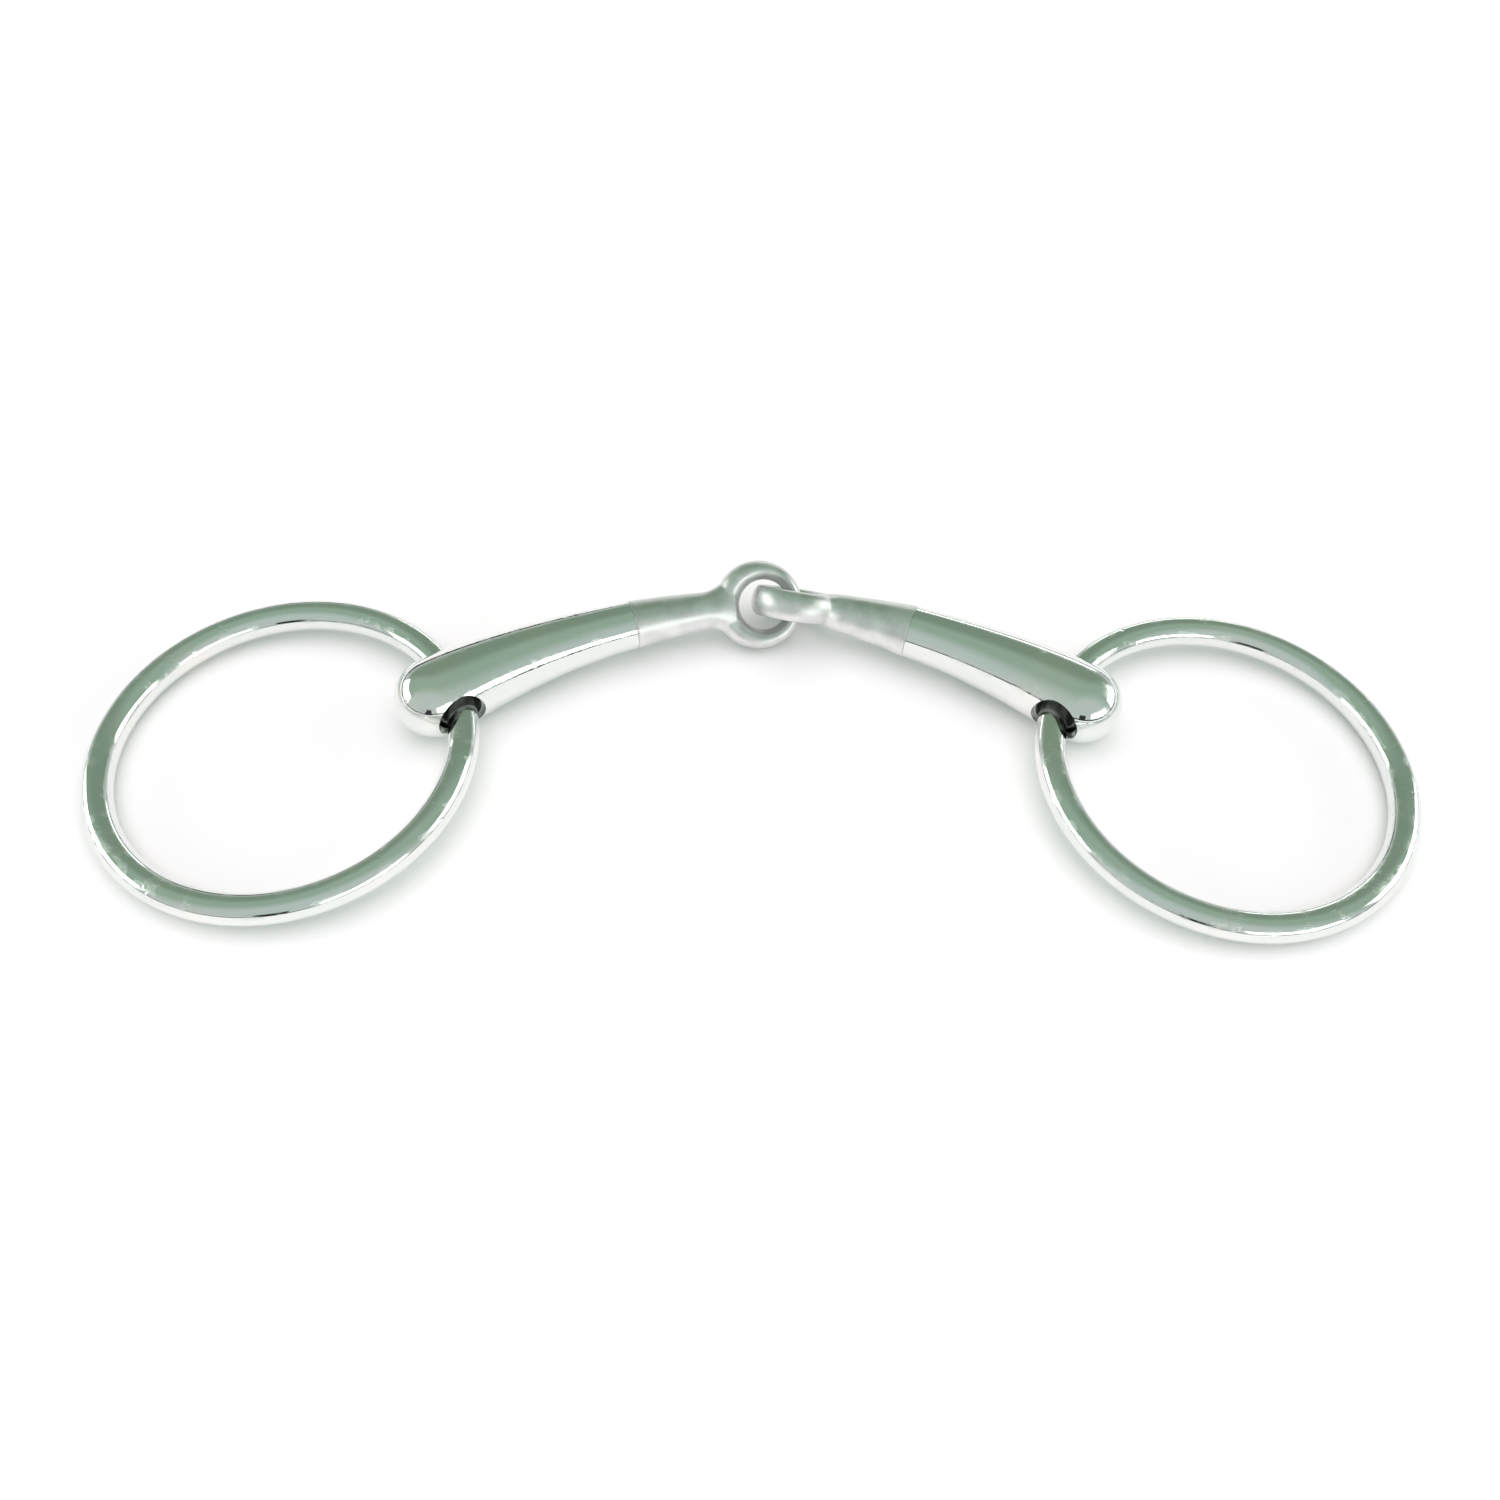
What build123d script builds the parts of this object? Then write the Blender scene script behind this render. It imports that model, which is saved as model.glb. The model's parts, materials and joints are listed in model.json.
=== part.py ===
"""Loose ring snaffle bit: a two-piece curved mouthpiece with a ring through each end.

The bit lies on a flat surface. +X runs along the mouthpiece from the left ring to the right
ring, +Y points to the side that the mouthpiece bows towards, and +Z is up. The origin is the
centre of the bit's footprint, on the surface that it lies on.

Each half of the mouthpiece is a polished hollow shell, closed and rounded at its outer end,
with a satin link plugged into its inner end. The two links end in eyes that pass through each
other. Each eye is turned an eighth of a turn about the mouthpiece, one way on the left and the
other way on the right, so that together they stand at a right angle.
"""

from build123d import *
import os
from math import asin, atan2, cos, degrees, hypot, radians, sin, sqrt, tan

# Rings -------------------------------------------------------------------------------------
ring_inner_diameter = 70.0
ring_wire_diameter = 6.6

# Ring holes and their liners ---------------------------------------------------------------
ring_hole_play = 2.4  # how much wider a ring hole is than the wire through it
liner_wall = 0.5
liner_length = 12.0
liner_clearance = 0.05  # radial, between a liner and its shell
wire_inset = 0.3  # how far the wire's middle sits towards the joint from the hole's axis
wire_drop = 0.9  # how far the wire's middle hangs below the hole's axis
hole_to_butt_centre = 4.6  # along the cannon, from the ring hole to the centre of its round end
mouth_flare = 0.4  # how much the hole's mouth widens all round
mouth_flare_depth = 1.3

# Cannons: the two tapered, curved halves of the mouthpiece ----------------------------------
butt_diameter = 17.3
taper_blend = 5.0  # rounds the change from the full diameter to the taper
taper_power = 1.35  # 1 would be a straight taper, and more falls away faster near the butt
left_shell_length = 47.0  # from the seam to the centre of the rounded end
right_shell_length = 41.3
left_seam_diameter = 10.8
right_seam_diameter = 11.8
bend_radius = 155.0
shell_wall = 1.5
spigot_length = 11.0
spigot_clearance = 0.05  # radial

# Joint links --------------------------------------------------------------------------------
left_link_length = 30.4  # from the seam to the centre of the eye's hole
right_link_length = 28.3
neck_width = 8.5
neck_thickness = 9.0
neck_to_eye = 13.5
shoulder_width = 12.0
shoulder_thickness = 8.2
shoulder_to_eye = 10.2
root_width = 17.0  # where the shank runs into the eye
root_thickness = 7.0
root_to_eye = 6.8
eye_diameter = 20.0
eye_hole_diameter = 11.4
eye_thickness = 6.6
eye_hole_offset = 1.2  # the hole sits this much nearer the far end than the eye's rim does
eye_turn = 45.0  # about the cannon's axis, from lying flat

# How the bit lies ---------------------------------------------------------------------------
left_heading = 7.8  # below the X axis, of the left half where it leaves the joint
right_heading = 10.4
left_ring_skew = 2.2  # the slack of a ring in its hole lets it lie a little askew
right_ring_skew = 4.0
left_ring_lean = -25.0  # in plan, from straight outwards to where the ring's plane leans
right_ring_lean = 9.0
eye_spacing_x = 6.0  # between the centres of the two eye holes
eye_spacing_y = 0.3

eye_reach = (eye_diameter - eye_thickness) / 2 * sin(radians(eye_turn)) + eye_thickness / 2
axis_height = max(butt_diameter / 2, eye_reach)  # the butts or the eyes touch the surface
wire_radius = ring_wire_diameter / 2
ring_hole_diameter = ring_wire_diameter + ring_hole_play
ring_radius = ring_inner_diameter / 2 + wire_radius
liner_radius = ring_hole_diameter / 2 + liner_wall
shell_hole_radius = liner_radius + liner_clearance
bar_half_width = (eye_diameter - eye_hole_diameter) / 4
cannon_sections = 8  # loft sections along a cannon, and along a link's shank
shank_sections = 4


class Half:
    """The centre line of one half of the mouthpiece, an arc from its eye out to its butt."""

    def __init__(self, side, eye, heading, link_length, shell_length, seam_diameter, ring_lie):
        self.side = side  # -1 on the left, +1 on the right
        self.eye = eye
        self.start = 180 + heading if side < 0 else -heading
        self.bend = -side / bend_radius
        self.link_length = link_length
        self.shell_length = shell_length
        self.length = link_length + shell_length
        self.seam_diameter = seam_diameter
        self.spigot_radius = seam_diameter / 2 - shell_wall
        self.ring_skew, self.ring_lean = ring_lie

    def past_hole(self, from_butt):
        """Distance past the ring hole, easing in from nothing over the blend."""
        beyond = from_butt - hole_to_butt_centre
        return (beyond + hypot(beyond, taper_blend)) / 2

    def cannon_diameter(self, from_butt):
        """Diameter at a distance along the shell from the centre of its rounded end.

        It keeps nearly the full butt diameter as far as the ring hole. From there it falls
        along a smooth curve, steep at first, down to its diameter at the seam.
        """
        butt, seam = self.past_hole(0.0), self.past_hole(self.shell_length)
        left_over = (seam - self.past_hole(from_butt)) / (seam - butt)
        return self.seam_diameter + (butt_diameter - self.seam_diameter) * left_over**taper_power

    def angle(self, distance):
        """Heading in degrees at a distance along the arc from the eye."""
        return self.start + degrees(self.bend * distance)

    def point(self, distance):
        """Place on the arc, in plan, at a distance from the eye."""
        first, last = radians(self.start), radians(self.angle(distance))
        x = self.eye[0] + (sin(last) - sin(first)) / self.bend
        y = self.eye[1] - (cos(last) - cos(first)) / self.bend
        return x, y

    def plane(self, distance, turn=0.0):
        """Plane across the arc, its normal pointing outwards and its X turned from level."""
        x, y = self.point(distance)
        along = radians(self.angle(distance))
        level = Vector(-sin(along) * self.side, cos(along) * self.side, 0)
        across = level * cos(radians(turn)) + Vector(0, 0, sin(radians(turn)))
        return Plane((x, y, axis_height), x_dir=across, z_dir=(cos(along), sin(along), 0))

    def chord_angle(self):
        """Direction in plan of the straight line from the eye to the butt, in degrees."""
        x, y = self.point(self.length)
        return degrees(atan2(y - self.eye[1], x - self.eye[0]))

    def hole_axis(self):
        """Direction of the ring hole: level, and square to the half's chord."""
        along = radians(self.chord_angle() + 90 * self.side)
        return Vector(cos(along), sin(along), 0)

    def hole_point(self):
        """Centre of the ring hole."""
        x, y = self.point(self.length - hole_to_butt_centre)
        return Vector(x, y, axis_height)

    def ring_direction(self):
        """Direction in plan from the ring hole to the ring's centre, in degrees."""
        return self.chord_angle() - self.side * self.ring_skew

    def ring_tilt(self):
        """How far the ring's plane leans from level, in radians.

        Its lowest edge rests on the surface, and its wire rests low in the ring hole.
        """
        rise = axis_height - wire_drop - wire_radius
        return asin(rise / (ring_radius * (1 + cos(radians(self.ring_lean)))))

    def ring_axis(self):
        """Normal of the ring's plane, leaning outwards."""
        towards, tilt = radians(self.ring_direction() + self.ring_lean), self.ring_tilt()
        return Vector(cos(towards) * sin(tilt), sin(towards) * sin(tilt), cos(tilt))

    def ring_centre(self):
        """Centre of the ring, outwards from its hole and below it by the lean of its plane."""
        slope = tan(self.ring_tilt()) * cos(radians(self.ring_lean))
        across = ring_radius / sqrt(1 + slope**2)
        out, hole = radians(self.ring_direction()), self.hole_point()
        return Vector(
            hole.X + cos(out) * (across - wire_inset),
            hole.Y + sin(out) * (across - wire_inset),
            hole.Z - wire_drop - across * slope,
        )

    def eye_turn(self):
        """Turn of the eye's width from level, opposite on the two halves."""
        return -self.side * eye_turn

    def eye_plane(self):
        """Plane through the middle of the eye's hole, its Y along the hole, its X outwards."""
        flat = self.plane(0, self.eye_turn())
        return Plane(flat.origin, x_dir=flat.z_dir, z_dir=flat.x_dir * self.side)


def lay_out(shift_x, shift_y):
    """The two halves, with the whole bit moved by a shift in plan."""
    left_eye = (-shift_x, -shift_y)
    left_lie = (left_ring_skew, left_ring_lean)
    left_sizes = (left_link_length, left_shell_length, left_seam_diameter, left_lie)
    right_eye = (eye_spacing_x - shift_x, eye_spacing_y - shift_y)
    right_lie = (right_ring_skew, right_ring_lean)
    right_sizes = (right_link_length, right_shell_length, right_seam_diameter, right_lie)
    left = Half(-1, left_eye, left_heading, *left_sizes)
    return left, Half(1, right_eye, right_heading, *right_sizes)


def footprint_middle():
    """Middle of the bit's footprint when the left eye's hole is at the origin."""
    left, right = lay_out(0.0, 0.0)
    outer = ring_radius + wire_radius
    rings = [left.ring_centre(), right.ring_centre()]
    back = (eye_diameter - eye_thickness) / 2 * cos(radians(eye_turn)) + eye_thickness / 2
    front = min(ring.Y for ring in rings) - outer
    return (rings[0].X + rings[1].X) / 2, (front + back) / 2


left_half, right_half = lay_out(*footprint_middle())


def make_ring(half):
    """Round bar bent into a circle, through the ring hole and resting on its outer edge."""
    with BuildPart(Plane(half.ring_centre(), z_dir=half.ring_axis())) as ring:
        Torus(ring_radius, wire_radius)
    return ring.part


def make_liner(half):
    """Plain tube that lines the ring hole across the hollow shell."""
    with BuildPart(Plane(half.hole_point(), z_dir=half.hole_axis())) as liner:
        Cylinder(liner_radius, liner_length)
        Cylinder(ring_hole_diameter / 2, liner_length, mode=Mode.SUBTRACT)
    return liner.part


def cannon_solid(half, inset, from_seam):
    """Solid of the cannon, inset all round, from a distance past the seam to its round end."""
    run = half.shell_length - from_seam
    with BuildPart() as solid:
        for step in range(cannon_sections):
            from_butt = run * (1 - step / (cannon_sections - 1))
            diameter = half.cannon_diameter(from_butt)
            with BuildSketch(half.plane(half.length - from_butt)):
                Circle(diameter / 2 - inset)
        loft()
        with Locations(half.plane(half.length).origin):
            Sphere(butt_diameter / 2 - inset)
    return solid.part


def make_shell(half):
    """Hollow cannon, closed at its butt, with the spigot bore and the ring hole."""
    hole_plane = Plane(half.hole_point(), z_dir=half.hole_axis())
    mouth = butt_diameter / 2
    with BuildPart() as shell:
        add(cannon_solid(half, 0.0, 0.0))
        add(cannon_solid(half, shell_wall, spigot_length), mode=Mode.SUBTRACT)
        with BuildSketch(half.plane(half.link_length)):
            Circle(half.spigot_radius + spigot_clearance)
        extrude(amount=spigot_length + shell_wall, mode=Mode.SUBTRACT)
        with BuildSketch(hole_plane):
            Circle(shell_hole_radius)
        extrude(amount=butt_diameter, both=True, mode=Mode.SUBTRACT)
        for side in (-1, 1):
            with BuildSketch(hole_plane.offset(side * (mouth - mouth_flare_depth))):
                Circle(shell_hole_radius)
            with BuildSketch(hole_plane.offset(side * (mouth + mouth_flare_depth))):
                Circle(shell_hole_radius + 2 * mouth_flare)
            loft(mode=Mode.SUBTRACT)
    return shell.part


def link_sections(half):
    """Distance from the eye, width and thickness of the shank's sections, seam first."""
    sections = []
    for step in range(shank_sections):
        share = step / (shank_sections - 1)
        distance = half.link_length + (neck_to_eye - half.link_length) * share
        width = half.seam_diameter + (neck_width - half.seam_diameter) * share
        thickness = half.seam_diameter + (neck_thickness - half.seam_diameter) * share
        sections.append((distance, width, thickness))
    sections.append((shoulder_to_eye, shoulder_width, shoulder_thickness))
    sections.append((root_to_eye, root_width, root_thickness))
    return sections


def make_link(half):
    """Solid link: a spigot, a tapered shank and a round eye, all of one piece."""
    eye = half.eye_plane()
    eye_axis = Axis(eye.origin, eye.y_dir)
    rim_axis = Axis(eye.from_local_coords((eye_hole_offset, 0, 0)), eye.y_dir)
    rim_radius = eye_diameter / 2 - bar_half_width
    lip_radius = eye_hole_diameter / 2 + bar_half_width
    with BuildPart() as link:
        with BuildSketch(half.plane(half.link_length)):
            Circle(half.spigot_radius)
        extrude(amount=spigot_length)
        for distance, width, thickness in link_sections(half):
            with BuildSketch(half.plane(distance, half.eye_turn())):
                Ellipse(width / 2, thickness / 2)
        loft()
        with BuildSketch(eye.shift_origin(rim_axis.position)):
            with Locations((rim_radius / 2, 0)):
                Rectangle(rim_radius, eye_thickness)
            with Locations((rim_radius, 0)):
                Ellipse(bar_half_width, eye_thickness / 2)
        revolve(axis=rim_axis)
        with BuildSketch(eye):
            with Locations((lip_radius / 2, 0)):
                Rectangle(lip_radius, 2 * eye_thickness)
            with Locations((lip_radius, 0)):
                Ellipse(bar_half_width, eye_thickness / 2, mode=Mode.SUBTRACT)
        revolve(axis=eye_axis, mode=Mode.SUBTRACT)
    return link.part


os.makedirs("parts", exist_ok=True)
for name, half in (("left", left_half), ("right", right_half)):
    pieces = {
        "ring": make_ring(half),
        "ring_liner": make_liner(half),
        "cannon_shell": make_shell(half),
        "joint_link": make_link(half),
    }
    for kind, piece in pieces.items():
        piece.label = f"{name}_{kind}"
        export_step(piece, f"parts/{piece.label}.step")
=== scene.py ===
"""Loose ring snaffle bit: polished steel rings and cannons, satin links, on a pale table.

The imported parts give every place. The rings are rebuilt here as finer surfaces and the links as
blended ones, and the cannons and the liners stay as packed.
"""

import json

import bpy
import numpy as np
from mathutils import Matrix, Vector


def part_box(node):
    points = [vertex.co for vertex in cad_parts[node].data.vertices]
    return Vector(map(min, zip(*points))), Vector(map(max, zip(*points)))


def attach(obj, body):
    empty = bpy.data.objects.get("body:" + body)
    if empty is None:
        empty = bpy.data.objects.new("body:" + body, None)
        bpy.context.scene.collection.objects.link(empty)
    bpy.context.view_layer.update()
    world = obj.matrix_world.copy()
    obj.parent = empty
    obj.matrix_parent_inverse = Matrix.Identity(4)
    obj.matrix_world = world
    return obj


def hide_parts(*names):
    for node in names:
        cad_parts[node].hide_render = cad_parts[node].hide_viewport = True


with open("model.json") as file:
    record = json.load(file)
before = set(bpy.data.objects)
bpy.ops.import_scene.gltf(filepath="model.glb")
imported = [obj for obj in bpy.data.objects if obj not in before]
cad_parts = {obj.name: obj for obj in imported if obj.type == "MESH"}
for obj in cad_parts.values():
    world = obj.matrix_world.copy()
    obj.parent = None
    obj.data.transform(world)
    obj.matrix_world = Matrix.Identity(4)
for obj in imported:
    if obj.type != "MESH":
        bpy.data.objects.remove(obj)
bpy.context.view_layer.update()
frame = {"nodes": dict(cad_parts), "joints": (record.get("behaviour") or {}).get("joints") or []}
joints = {joint["name"]: joint for joint in frame["joints"]}
SIDES = ("left", "right")

# Rings
RING_STEPS = 384
WIRE_STEPS = 64

# Halves of the mouthpiece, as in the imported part
BEND_RADIUS = 0.155
HOLE_TO_BUTT = 0.0046
SHELL_LENGTH = {"left": 0.047, "right": 0.0413}
LINK_LENGTH = {"left": 0.0304, "right": 0.0283}
SEAM_RADIUS = {"left": 0.0054, "right": 0.0059}

# Links
NECK_TO_EYE = 0.0137
NECK_WIDTH = 0.0085
NECK_THICKNESS = 0.0088
ROOT_TO_EYE = 0.0066
ROOT_WIDTH = 0.0158
ROOT_THICKNESS = 0.0066
SPIGOT_RADIUS = 0.0038
SPIGOT_LENGTH = 0.008
SHANK_STEPS = 90
ROUND_STEPS = 120
EYE_RADIUS = 0.010
EYE_HOLE_RADIUS = 0.0056
EYE_THICKNESS = 0.0068
EYE_OFFSET = 0.0012
EYE_TURN = np.radians(45.0)
BLEND_VOXEL = 0.0002
BLEND_PASSES = 14

# Camera, placed from the hole in the left link's eye
EYE_TO_TARGET = Vector((-0.002806, -0.034904))
CAMERA_DISTANCE = 0.32203
CAMERA_AZIMUTH = 2.394
CAMERA_ELEVATION = 53.78
CAMERA_ROLL = 3.0
LENS = 35.34
SENSOR = 36.0

# Finishes
STEEL = (0.84, 0.87, 0.85, 1.0)
STEEL_WARM = (0.90, 0.89, 0.86, 1.0)
SATIN = (0.86, 0.86, 0.85, 1.0)
SATIN_DARK = (0.72, 0.72, 0.72, 1.0)
DRILLED = (0.74, 0.76, 0.75, 1.0)
DRILLED_DARK = (0.34, 0.36, 0.35, 1.0)
TABLE = (0.955, 0.96, 0.955, 1.0)
TABLE_FAINT = (0.945, 0.95, 0.945, 1.0)

# Hairlines, nicks and grain: each edge pair is where its noise starts and ends a fade
HAIRLINE_TURNS = ((0.2, 0.1, 0.4), (1.3, 0.7, 1.9), (2.2, 1.6, 2.9))
HAIRLINE_SCALE = 70.0
HAIRLINE_STRETCH = 60.0
HAIRLINE_EDGES = (0.012, 0.0)
HAIRLINE_HEIGHT = 0.12
HAIRLINE_PATCHES = 4.0
PATCH_EDGES = (0.45, 0.65)
NICK_SCALE = 520.0
NICK_EDGES = (0.30, 0.05)
NICK_PATCHES = 0.23
WORN_EDGES = (0.53, 0.66)
GRAIN_SCALE = 4200.0
GRAIN_CLOUDS = 0.06
CLOUD_EDGES = (0.3, 0.7)
MARK_SCALE = 55.0
MARK_EDGES = (0.42, 0.7)
MARK_ROUGHNESS = 0.35
WEAR_DEPTH = 0.00006

# Table and light
TABLE_HALF = 3.0
TABLE_MOTTLE = 8.0
TABLE_ROUGHNESS = 0.9
LAMP = (1.0, 0.84, 0.95)
LAMP_STRENGTH = 2.0
LAMP_SPREAD = np.radians(75.0)

# Room: colours of the ceiling and of its panels, which are given by azimuth and half width in
# degrees and by the sines of their lowest and highest elevations
CEILING_BACK = (0.21, 0.29, 0.215, 1.0)
CEILING = (0.31, 0.42, 0.335, 1.0)
CEILING_FRONT = (0.50, 0.58, 0.545, 1.0)
WALL = (0.55, 0.60, 0.57, 1.0)
SKIRTING_TOP = 0.075
SKIRTING_FADE = 0.015
CEILING_FRONT_EDGES = (-0.05, -0.65)
CEILING_BACK_EDGES = (0.20, 0.62)
WALL_EDGES = (0.12, 0.42)
PANEL_SIDE_FADE = 0.25
PANEL_LOW_FADE = 0.02
PANEL_HIGH_FADE = 0.05
BACKDROP = (1.0, 1.0, 1.0, 1.0)
SKIRTING = (0.05, 0.07, 0.06, 1.0)
WINDOW = (2.6, 2.75, 2.6, 1.0)
DARK_SHAPE = (0.03, 0.035, 0.035, 1.0)
ROOM_PANELS = (
    (-52.0, 24.0, 0.08, 0.36, WINDOW),  # front right
    (8.0, 22.0, 0.08, 0.48, WINDOW),  # right
    (176.0, 26.0, 0.08, 0.44, WINDOW),  # left
    (78.0, 16.0, 0.10, 0.22, WINDOW),  # back
    (-98.0, 9.0, 0.0, 0.30, DARK_SHAPE),  # front
    (118.0, 20.0, 0.0, 0.16, DARK_SHAPE),  # back
)


# Meshes -----------------------------------------------------------------------------------------


def grid_faces(rows, columns, wrap_rows=False, wrap_columns=False):
    """Four-sided faces of a grid of points, row after row, wound so that (down a row) x (along it)
    points outwards."""
    down = np.arange(rows if wrap_rows else rows - 1)
    along = np.arange(columns if wrap_columns else columns - 1)
    i, j = (a.ravel() for a in np.meshgrid(down, along, indexing="ij"))
    below, beside = (i + 1) % rows, (j + 1) % columns
    near, far = i * columns, below * columns
    return np.stack([near + j, far + j, far + beside, near + beside], 1)


def surface(name, points, faces):
    """Mesh object from an (n, 3) array of points and an (m, 4) array of faces, smooth all over."""
    mesh = bpy.data.meshes.new(name)
    mesh.vertices.add(len(points))
    mesh.vertices.foreach_set("co", points.astype(np.float32).ravel())
    mesh.loops.add(faces.size)
    mesh.loops.foreach_set("vertex_index", faces.astype(np.int32).ravel())
    mesh.polygons.add(len(faces))
    mesh.polygons.foreach_set("loop_start", np.arange(len(faces), dtype=np.int32) * faces.shape[1])
    mesh.polygons.foreach_set("use_smooth", np.ones(len(faces), dtype=bool))
    mesh.update(calc_edges=True)
    mesh.validate()
    obj = bpy.data.objects.new(name, mesh)
    bpy.context.scene.collection.objects.link(obj)
    return obj


def across(axis):
    """Two unit vectors square to an axis and to each other, the second one upwards if it can be."""
    axis = np.array(axis) / np.linalg.norm(axis)
    first = np.cross((0.0, 0.0, 1.0) if abs(axis[2]) < 0.9 else (0.0, 1.0, 0.0), axis)
    first /= np.linalg.norm(first)
    return first, np.cross(axis, first), axis


# Materials --------------------------------------------------------------------------------------


def start_material(name):
    """An empty material, its tree, its metal shader and its Object coordinates."""
    material = bpy.data.materials.new(name)
    material.use_nodes = True
    tree = material.node_tree
    tree.nodes.clear()
    shader = tree.nodes.new("ShaderNodeBsdfPrincipled")
    output = tree.nodes.new("ShaderNodeOutputMaterial")
    tree.links.new(shader.outputs["BSDF"], output.inputs["Surface"])
    place = tree.nodes.new("ShaderNodeTexCoord")
    return material, tree, shader, place


def group(name, inputs, outputs):
    """An empty node group with its named number inputs and its outputs."""
    tree = bpy.data.node_groups.new(name, "ShaderNodeTree")
    for socket in inputs:
        tree.interface.new_socket(socket, in_out="INPUT", socket_type="NodeSocketFloat")
    for socket in outputs:
        tree.interface.new_socket(socket, in_out="OUTPUT", socket_type="NodeSocketFloat")
    tree.interface.new_socket("Place", in_out="INPUT", socket_type="NodeSocketVector")
    return tree, tree.nodes.new("NodeGroupInput"), tree.nodes.new("NodeGroupOutput")


def maths(tree, operation, *values):
    """A Math node's output, each value a number or a socket."""
    made = tree.nodes.new("ShaderNodeMath")
    made.operation = operation
    for socket, value in zip(made.inputs, values):
        put(tree, socket, value)
    return made.outputs[0]


def put(tree, socket, value):
    """Links a socket, or sets a plain value."""
    if isinstance(value, bpy.types.NodeSocket):
        tree.links.new(value, socket)
    else:
        socket.default_value = value


def noise(tree, place, scale, detail=2.0, roughness=0.5):
    """A Noise texture's value, from 0 to 1."""
    made = tree.nodes.new("ShaderNodeTexNoise")
    made.inputs["Detail"].default_value = detail
    made.inputs["Roughness"].default_value = roughness
    put(tree, made.inputs["Vector"], place)
    put(tree, made.inputs["Scale"], scale)
    return made.outputs["Fac"]


def between(tree, value, low, high):
    """0 below low, 1 above high and smooth in between."""
    made = tree.nodes.new("ShaderNodeMapRange")
    made.interpolation_type = "SMOOTHSTEP"
    put(tree, made.inputs["Value"], value)
    made.inputs["From Min"].default_value = low
    made.inputs["From Max"].default_value = high
    return made.outputs["Result"]


def mix(tree, factor, first, second):
    """Colour from the first at factor 0 to the second at factor 1."""
    made = tree.nodes.new("ShaderNodeMix")
    made.data_type = "RGBA"
    put(tree, made.inputs["Factor"], factor)
    put(tree, made.inputs[6], first)
    put(tree, made.inputs[7], second)
    return made.outputs[2]


def make_scratches():
    """Hairlines: noise stretched sixtyfold along three directions, kept only near its middle."""
    tree, given, result = group("hairline_scratches", ("Scale", "Amount"), ("Height", "Mask"))
    total = 0.0
    for turn in HAIRLINE_TURNS:
        stretch = tree.nodes.new("ShaderNodeMapping")
        tree.links.new(given.outputs["Place"], stretch.inputs["Vector"])
        stretch.inputs["Rotation"].default_value = turn
        stretch.inputs["Scale"].default_value = (1.0, HAIRLINE_STRETCH, HAIRLINE_STRETCH)
        line = noise(tree, stretch.outputs["Vector"], given.outputs["Scale"], 1.0)
        off_middle = maths(tree, "ABSOLUTE", maths(tree, "SUBTRACT", line, 0.5))
        total = maths(tree, "ADD", total, between(tree, off_middle, *HAIRLINE_EDGES))
    patchy = maths(tree, "MULTIPLY", given.outputs["Scale"], HAIRLINE_PATCHES)
    patches = between(tree, noise(tree, given.outputs["Place"], patchy), *PATCH_EDGES)
    mask = maths(tree, "MULTIPLY", maths(tree, "MULTIPLY", total, patches), given.outputs["Amount"])
    tree.links.new(mask, result.inputs["Mask"])
    tree.links.new(maths(tree, "SUBTRACT", 1.0, mask), result.inputs["Height"])
    return tree


def make_nicks():
    """Small dents: the middles of scattered cells, only where a coarse noise is high."""
    tree, given, result = group("nicks", ("Scale", "Amount"), ("Height", "Mask"))
    cells = tree.nodes.new("ShaderNodeTexVoronoi")
    tree.links.new(given.outputs["Place"], cells.inputs["Vector"])
    tree.links.new(given.outputs["Scale"], cells.inputs["Scale"])
    dents = between(tree, cells.outputs["Distance"], *NICK_EDGES)
    coarse = maths(tree, "MULTIPLY", given.outputs["Scale"], NICK_PATCHES)
    worn = between(tree, noise(tree, given.outputs["Place"], coarse), *WORN_EDGES)
    mask = maths(tree, "MULTIPLY", maths(tree, "MULTIPLY", dents, worn), given.outputs["Amount"])
    tree.links.new(mask, result.inputs["Mask"])
    tree.links.new(maths(tree, "SUBTRACT", 1.0, mask), result.inputs["Height"])
    return tree


def make_grain():
    """Blasted grain: a fine noise for the pits and a coarse one for the clouds in the finish."""
    tree, given, result = group("blasted_grain", ("Scale",), ("Height", "Cloud"))
    fine = noise(tree, given.outputs["Place"], given.outputs["Scale"], 3.0, 0.65)
    coarse = maths(tree, "MULTIPLY", given.outputs["Scale"], GRAIN_CLOUDS)
    tree.links.new(fine, result.inputs["Height"])
    clouds = between(tree, noise(tree, given.outputs["Place"], coarse), *CLOUD_EDGES)
    tree.links.new(clouds, result.inputs["Cloud"])
    return tree


def use(tree, made, place, **values):
    """A group placed in a material, fed with its place and its numbers."""
    placed = tree.nodes.new("ShaderNodeGroup")
    placed.node_tree = made
    tree.links.new(place.outputs["Object"], placed.inputs["Place"])
    for key, value in values.items():
        placed.inputs[key].default_value = value
    return placed.outputs


def bump(tree, shader, height, depth):
    """Feeds a height in metres of depth to the shader's normal."""
    made = tree.nodes.new("ShaderNodeBump")
    made.inputs["Strength"].default_value = 1.0
    made.inputs["Distance"].default_value = depth
    tree.links.new(height, made.inputs["Height"])
    tree.links.new(made.outputs["Normal"], shader.inputs["Normal"])


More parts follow.
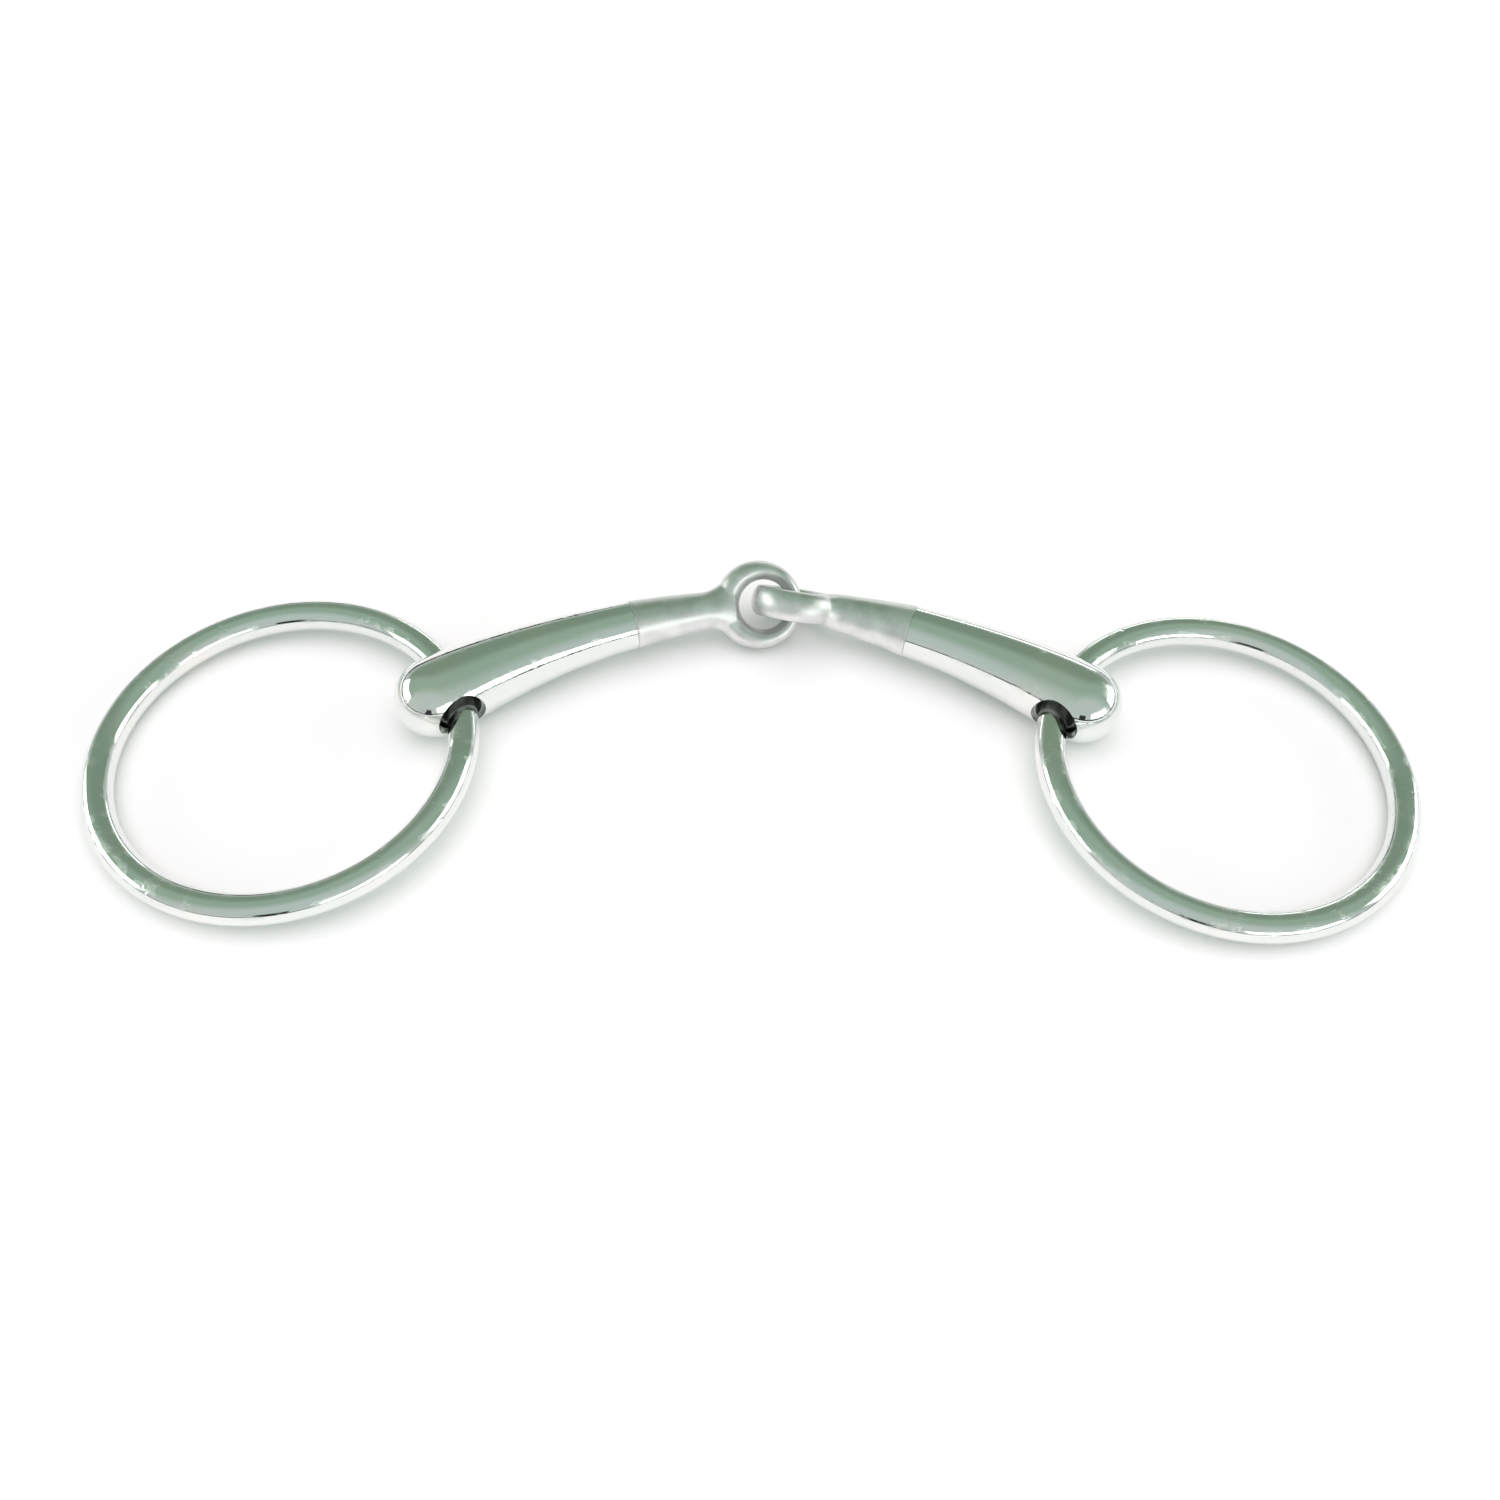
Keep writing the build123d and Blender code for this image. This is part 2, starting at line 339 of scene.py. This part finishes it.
def polished_steel(name, scratch_amount, nick_amount, low, high):
    """Mirror polish with hairlines, nicks and faint finger marks, low and high its roughness."""
    material, tree, shader, place = start_material(name)
    shader.inputs["Metallic"].default_value = 1.0
    hairlines = use(tree, scratches, place, Scale=HAIRLINE_SCALE, Amount=scratch_amount)
    dents = use(tree, nicks, place, Scale=NICK_SCALE, Amount=nick_amount)
    marks = between(tree, noise(tree, place.outputs["Object"], MARK_SCALE, 4.0), *MARK_EDGES)
    put(tree, shader.inputs["Base Color"], mix(tree, marks, STEEL, STEEL_WARM))
    marred = maths(tree, "MAXIMUM", hairlines["Mask"], dents["Mask"])
    wear = maths(tree, "ADD", maths(tree, "MULTIPLY", marks, MARK_ROUGHNESS), marred)
    span = maths(tree, "MULTIPLY", maths(tree, "MINIMUM", wear, 1.0), high - low)
    put(tree, shader.inputs["Roughness"], maths(tree, "ADD", span, low))
    faint = maths(tree, "MULTIPLY", hairlines["Height"], HAIRLINE_HEIGHT)
    bump(tree, shader, maths(tree, "ADD", dents["Height"], faint), WEAR_DEPTH)
    return material


def satin_steel(name, dark, light, low, high, depth):
    """Blasted or drilled steel: fine pits, and clouds of lighter and rougher metal."""
    material, tree, shader, place = start_material(name)
    shader.inputs["Metallic"].default_value = 1.0
    pits = use(tree, grain, place, Scale=GRAIN_SCALE)
    put(tree, shader.inputs["Base Color"], mix(tree, pits["Cloud"], dark, light))
    span = maths(tree, "MULTIPLY", pits["Cloud"], high - low)
    put(tree, shader.inputs["Roughness"], maths(tree, "ADD", span, low))
    bump(tree, shader, pits["Height"], depth)
    return material


# Pieces -----------------------------------------------------------------------------------------


def ring(side, material):
    """A torus: a circle the size of the wire, carried round the circle through the wire's middle.

    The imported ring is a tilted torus. Along an axis, its box spans twice the ring's radius times
    the sine of the angle to its normal, plus the wire's diameter, so two spans give both radii.
    """
    joint = joints[f"{side}_ring_run"]
    low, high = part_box(f"{side}_ring")
    u, v, axis = across(joint["axis"])
    shares = np.sqrt(1 - axis**2)
    radius = ((high - low).y - (high - low).z) / (shares[1] - shares[2]) / 2
    wire = (high - low).z / 2 - radius * shares[2]
    turn = np.linspace(0, 2 * np.pi, RING_STEPS, endpoint=False)[:, None, None]
    lap = np.linspace(0, 2 * np.pi, WIRE_STEPS, endpoint=False)[None, :, None]
    out = u * np.cos(turn) + v * np.sin(turn)
    points = np.array(joint["pos_m"]) + out * (radius + wire * np.cos(lap)) + axis * wire * np.sin(lap)
    faces = grid_faces(RING_STEPS, WIRE_STEPS, True, True)
    piece = surface(f"{side}_ring_bar", points.reshape(-1, 3), faces)
    piece.data.materials.append(material)
    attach(piece, f"{side}_ring")
    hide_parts(f"{side}_ring")


def centre_line(side, distance):
    """Points of a half's centre line at distances from its eye, and its directions along and across.

    The line is a level arc through the ring's hole, and half way along it its heading is square to
    the hole. Moving along an arc adds the change in its heading's sine and cosine, over the bend.
    """
    joint = joints[f"{side}_ring_swing"]
    outwards = -1 if side == "left" else 1
    length = LINK_LENGTH[side] + SHELL_LENGTH[side]
    bend = -outwards / BEND_RADIUS
    chord = np.arctan2(-outwards * joint["axis"][0], outwards * joint["axis"][1])
    heading = chord + bend * (distance - length / 2)
    at_hole = chord + bend * (length / 2 - HOLE_TO_BUTT)
    level = np.zeros_like(heading)
    steps = np.stack([np.sin(heading) - np.sin(at_hole), np.cos(at_hole) - np.cos(heading), level], -1)
    points = np.array(joint["pos_m"]) + steps / bend
    along = np.stack([np.cos(heading), np.sin(heading), level], -1)
    sideways = outwards * np.stack([-np.sin(heading), np.cos(heading), level], -1)
    turn = -outwards * EYE_TURN
    wide = sideways * np.cos(turn) + np.array([0.0, 0.0, 1.0]) * np.sin(turn)
    return points, along, wide


def shank(side):
    """Points of a link's spigot and shank, an ellipse carried along the centre line.

    The ellipse is round at the seam, tapers straight to the neck and then widens with the square
    of the distance past it. Both ends close on a point.
    """
    seam = LINK_LENGTH[side]
    run = np.linspace(seam, ROOT_TO_EYE, SHANK_STEPS)
    taper = np.minimum((seam - run) / (seam - NECK_TO_EYE), 1)
    flare = np.maximum((NECK_TO_EYE - run) / (NECK_TO_EYE - ROOT_TO_EYE), 0) ** 2
    across_seam = 2 * SEAM_RADIUS[side]
    width = across_seam + (NECK_WIDTH - across_seam) * taper + (ROOT_WIDTH - NECK_WIDTH) * flare
    depth = across_seam + (NECK_THICKNESS - across_seam) * taper
    depth += (ROOT_THICKNESS - NECK_THICKNESS) * flare
    spigot = np.array([0.0, 2 * SPIGOT_RADIUS, 2 * SPIGOT_RADIUS])
    distance = np.concatenate([seam + np.array([SPIGOT_LENGTH, SPIGOT_LENGTH, 0.0]), run, run[-1:]])
    width = np.concatenate([spigot, width, [0.0]])[:, None, None]
    depth = np.concatenate([spigot, depth, [0.0]])[:, None, None]
    points, along, wide = (a[:, None, :] for a in centre_line(side, distance))
    lap = np.linspace(0, 2 * np.pi, ROUND_STEPS, endpoint=False)[None, :, None]
    return points + (wide * np.cos(lap) * width + np.cross(along, wide) * np.sin(lap) * depth) / 2


def eye(side):
    """Points of a link's eye: an ellipse carried round the hole, as wide as the rim stands off it.

    The rim is a circle whose middle lies a little towards the shank, so that its distance from the
    hole's middle comes from the cosine rule, and the bar is thinnest at the far end.
    """
    middle, along, wide = (a[0] for a in centre_line(side, np.zeros(1)))
    turn = np.linspace(0, 2 * np.pi, 2 * ROUND_STEPS, endpoint=False)[:, None, None]
    lap = np.linspace(0, 2 * np.pi, ROUND_STEPS // 2, endpoint=False)[None, :, None]
    rim = EYE_OFFSET * np.cos(turn) + np.sqrt(EYE_RADIUS**2 - (EYE_OFFSET * np.sin(turn)) ** 2)
    bar = (rim + EYE_HOLE_RADIUS) / 2 + (rim - EYE_HOLE_RADIUS) / 2 * np.cos(lap)
    out = along * np.cos(turn) + wide * np.sin(turn)
    return middle + out * bar + np.cross(along, wide) * np.sin(lap) * EYE_THICKNESS / 2


def link(side, material):
    """The shank and the eye as one skin, remeshed together and smoothed where they meet."""
    body, loop = shank(side), eye(side)
    points = np.concatenate([body.reshape(-1, 3), loop.reshape(-1, 3)])
    faces = [
        grid_faces(*body.shape[:2], False, True),
        grid_faces(*loop.shape[:2], True, True) + body.shape[0] * body.shape[1],
    ]
    piece = surface(f"{side}_link", points, np.concatenate(faces))
    skin = piece.modifiers.new("one_skin", "REMESH")
    skin.mode = "VOXEL"
    skin.voxel_size = BLEND_VOXEL
    skin.use_smooth_shade = True
    soften = piece.modifiers.new("soften", "SMOOTH")
    soften.iterations = BLEND_PASSES
    shaped = piece.evaluated_get(bpy.context.evaluated_depsgraph_get())
    finished = bpy.data.meshes.new_from_object(shaped)
    piece.modifiers.clear()
    piece.data = finished
    finished.materials.clear()
    finished.materials.append(material)
    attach(piece, f"{side}_half")
    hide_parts(f"{side}_joint_link")


# Camera, light and table -------------------------------------------------------------------------


def make_camera():
    """Camera on a circle round the target, tipped by a small roll."""
    data = bpy.data.cameras.new("camera")
    data.lens = LENS
    data.sensor_width = SENSOR
    camera = bpy.data.objects.new("camera", data)
    bpy.context.scene.collection.objects.link(camera)
    azimuth, elevation = np.radians((CAMERA_AZIMUTH, CAMERA_ELEVATION))
    level = np.cos(elevation)
    back = Vector((-np.sin(azimuth) * level, -np.cos(azimuth) * level, np.sin(elevation)))
    roll = Matrix.Rotation(np.radians(CAMERA_ROLL), 3, "Z")
    turn = (-back).to_track_quat("-Z", "Y").to_matrix() @ roll
    hole = Vector(joints["mouthpiece_fold"]["pos_m"])
    target = Vector((hole.x + EYE_TO_TARGET.x, hole.y + EYE_TO_TARGET.y, 0.0))
    camera.matrix_world = Matrix.Translation(target + back * CAMERA_DISTANCE) @ turn.to_4x4()
    bpy.context.scene.camera = camera


def make_table():
    """A wide flat table top."""
    signs = np.array([(-1, -1, 0), (1, -1, 0), (1, 1, 0), (-1, 1, 0)])
    corners = signs * TABLE_HALF
    table = surface("table", corners, np.array([[0, 1, 2, 3]]))
    material, tree, shader, place = start_material("pale_table")
    mottle = noise(tree, place.outputs["Object"], TABLE_MOTTLE)
    put(tree, shader.inputs["Base Color"], mix(tree, mottle, TABLE, TABLE_FAINT))
    shader.inputs["Roughness"].default_value = TABLE_ROUGHNESS
    shader.inputs["Specular IOR Level"].default_value = 0.0
    table.data.materials.append(material)


def soft_light():
    """A broad overhead light that keeps the table white and doesn't show in the steel."""
    data = bpy.data.lights.new("soft_light", "SUN")
    data.angle = LAMP_SPREAD
    data.energy = LAMP_STRENGTH
    data.color = LAMP
    lamp = bpy.data.objects.new("soft_light", data)
    bpy.context.scene.collection.objects.link(lamp)
    lamp.visible_glossy = False


def make_room():
    """Grey-green ceiling, paler walls, a dark skirting line, and the windows and dark shapes."""
    world = bpy.data.worlds.new("room")
    bpy.context.scene.world = world
    world.use_nodes = True
    tree = world.node_tree
    place = tree.nodes.new("ShaderNodeTexCoord")
    split = tree.nodes.new("ShaderNodeSeparateXYZ")
    tree.links.new(place.outputs["Generated"], split.inputs["Vector"])
    x, y, rise = split.outputs
    ceiling = mix(tree, between(tree, y, *CEILING_FRONT_EDGES), CEILING, CEILING_FRONT)
    ceiling = mix(tree, between(tree, y, *CEILING_BACK_EDGES), ceiling, CEILING_BACK)
    colour = mix(tree, between(tree, rise, *WALL_EDGES), WALL, ceiling)
    low_down = between(tree, rise, SKIRTING_TOP, SKIRTING_TOP - SKIRTING_FADE)
    colour = mix(tree, low_down, colour, SKIRTING)
    squares = maths(tree, "MULTIPLY", x, x), maths(tree, "MULTIPLY", y, y)
    level = maths(tree, "SQRT", maths(tree, "ADD", *squares))
    for azimuth, half_width, low, high, shade in ROOM_PANELS:
        east = maths(tree, "MULTIPLY", x, float(np.cos(np.radians(azimuth))))
        north = maths(tree, "MULTIPLY", y, float(np.sin(np.radians(azimuth))))
        along = maths(tree, "ADD", east, north)
        facing = maths(tree, "DIVIDE", along, level)
        edge = float(np.cos(np.radians(half_width)))
        sideways = between(tree, facing, edge, edge + (1 - edge) * PANEL_SIDE_FADE)
        above = between(tree, rise, low, low + PANEL_LOW_FADE)
        under = between(tree, rise, high, high - PANEL_HIGH_FADE)
        upwards = maths(tree, "MULTIPLY", above, under)
        colour = mix(tree, maths(tree, "MULTIPLY", sideways, upwards), colour, shade)
    straight = tree.nodes.new("ShaderNodeLightPath").outputs["Is Camera Ray"]
    tree.links.new(mix(tree, straight, colour, BACKDROP), tree.nodes["Background"].inputs["Color"])


bpy.context.scene.view_settings.view_transform = "Standard"
make_camera()
make_table()
make_room()
soft_light()

scratches, nicks, grain = make_scratches(), make_nicks(), make_grain()
cannon_steel = polished_steel("mirror_steel", scratch_amount=0.5, nick_amount=0.25, low=0.04, high=0.22)
ring_steel = polished_steel("ring_steel", scratch_amount=0.8, nick_amount=1.0, low=0.05, high=0.30)
link_steel = satin_steel("satin_steel", SATIN_DARK, SATIN, low=0.36, high=0.46, depth=0.000015)
bore_steel = satin_steel("drilled_steel", DRILLED_DARK, DRILLED, low=0.45, high=0.65, depth=0.00006)
for side in SIDES:
    ring(side, ring_steel)
    link(side, link_steel)
    for part, finish in (("cannon_shell", cannon_steel), ("ring_liner", bore_steel)):
        frame["nodes"][f"{side}_{part}"].material_slots[0].material = finish
